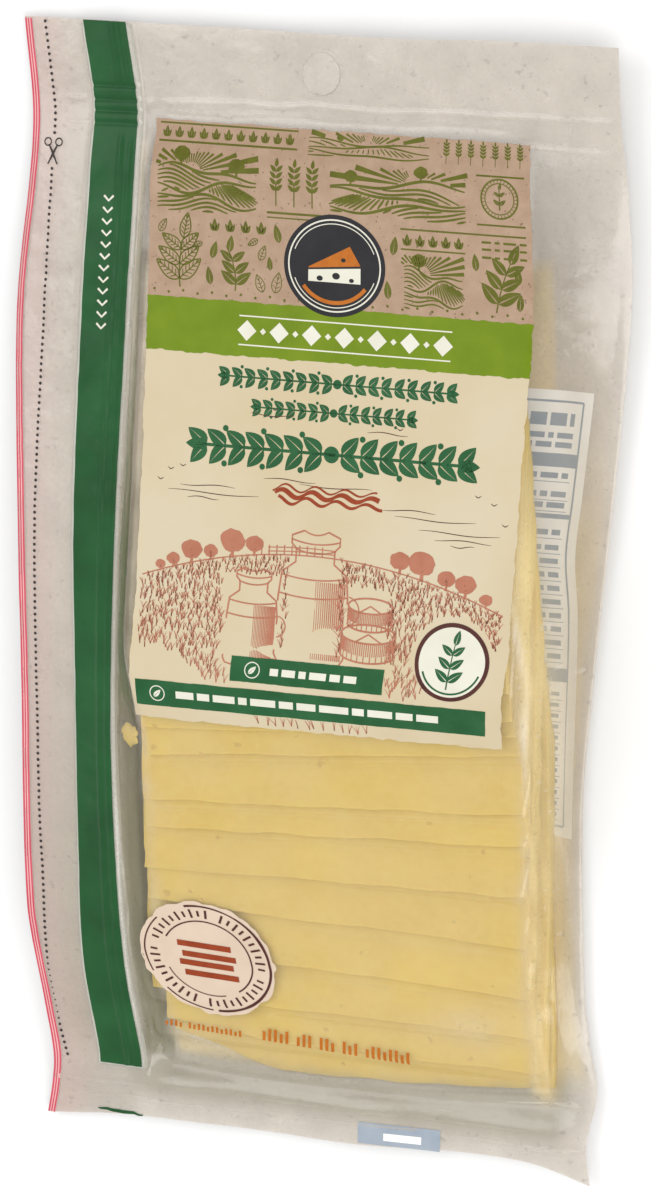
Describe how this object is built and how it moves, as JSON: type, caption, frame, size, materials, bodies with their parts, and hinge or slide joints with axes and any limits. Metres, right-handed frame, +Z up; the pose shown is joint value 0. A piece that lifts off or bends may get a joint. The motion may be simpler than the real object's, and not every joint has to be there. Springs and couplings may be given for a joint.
{
  "type": "pack of sliced cheese",
  "caption": "Clear resealable film bag with a peg-hole header, a press-to-close side strip and a fanned stack of square cheese slices.",
  "frame": {"origin": "middle of the pack's outline, on the surface it lies on", "axes": "+X across the pack, away from the press-to-close strip; +Y along it, to the header with the peg hole; +Z up, out of its front"},
  "size_m": [0.1566, 0.27, 0.0313],
  "materials": {
    "film": "clear glossy film, slightly hazy",
    "strip": "deep green printed film over a pale ribbed strip",
    "cheese": "moist pale yellow cheese, soft sheen",
    "print": "opaque inks printed on the film",
    "panel": "white panel printed on the rear web"
  },
  "bodies": {
    "root": {"pouch": "film", "zipper": "strip"}
  },
  "joints": []
}
